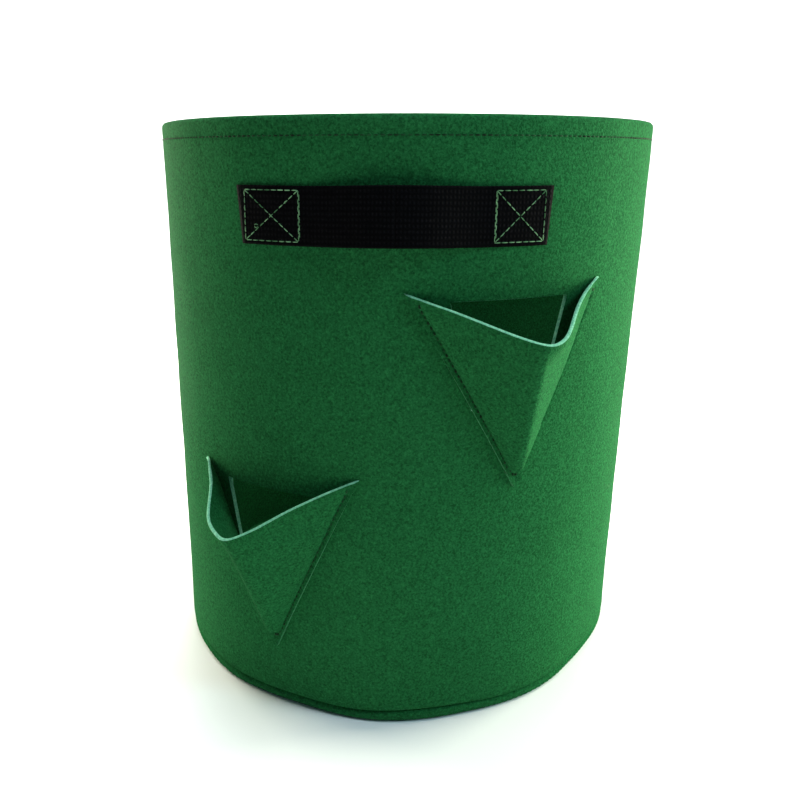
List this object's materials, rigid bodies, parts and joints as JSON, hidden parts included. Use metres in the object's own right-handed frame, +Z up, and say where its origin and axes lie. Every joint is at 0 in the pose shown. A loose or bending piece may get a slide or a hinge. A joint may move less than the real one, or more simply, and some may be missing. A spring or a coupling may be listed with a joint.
{
  "type": "fabric grow bag",
  "caption": "Round upright felt planter with a hemmed rim, felt base, triangular planting pockets sewn over windows in the wall, and webbing carry handles.",
  "frame": {"origin": "on the bag's upright axis, on the surface that the base stands on", "axes": "+Z up out of the mouth; the front, with one handle and two pockets, faces -Y; the rear is the front turned half round the axis"},
  "size_m": [0.3172, 0.3546, 0.35],
  "materials": {
    "felt": "green needled polyester felt, matt and slightly hairy",
    "felt_thread": "dark green spun polyester sewing thread",
    "webbing": "black woven polypropylene webbing with a slight sheen",
    "webbing_thread": "pale green spun polyester sewing thread"
  },
  "bodies": {
    "root": {"wall_panel": "felt", "base_panel": "felt", "rim_hem_thread": "felt_thread", "base_seam_thread": "felt_thread", "side_seam_thread": "felt_thread", "pocket_upper_front": "felt", "pocket_thread_upper_front": "felt_thread", "pocket_lower_front": "felt", "pocket_thread_lower_front": "felt_thread", "handle_tab_left_front": "webbing", "handle_thread_left_front": "webbing_thread", "handle_tab_right_front": "webbing", "handle_thread_right_front": "webbing_thread", "pocket_upper_rear": "felt", "pocket_thread_upper_rear": "felt_thread", "pocket_lower_rear": "felt", "pocket_thread_lower_rear": "felt_thread", "handle_tab_left_rear": "webbing", "handle_thread_left_rear": "webbing_thread", "handle_tab_right_rear": "webbing", "handle_thread_right_rear": "webbing_thread"},
    "handle_front": {"handle_span_front": "webbing"},
    "handle_rear": {"handle_span_rear": "webbing"}
  },
  "joints": [
    {"name": "handle_front_lift", "type": "hinge", "parent": "root", "child": "handle_front", "pos_m": [-0.00579, -0.15789, 0.316], "axis": [-0.9993, 0.0366, 0], "range_deg": [0, 60]},
    {"name": "handle_rear_lift", "type": "hinge", "parent": "root", "child": "handle_rear", "pos_m": [0.00579, 0.15789, 0.316], "axis": [0.9993, -0.0366, 0], "range_deg": [0, 60]}
  ]
}
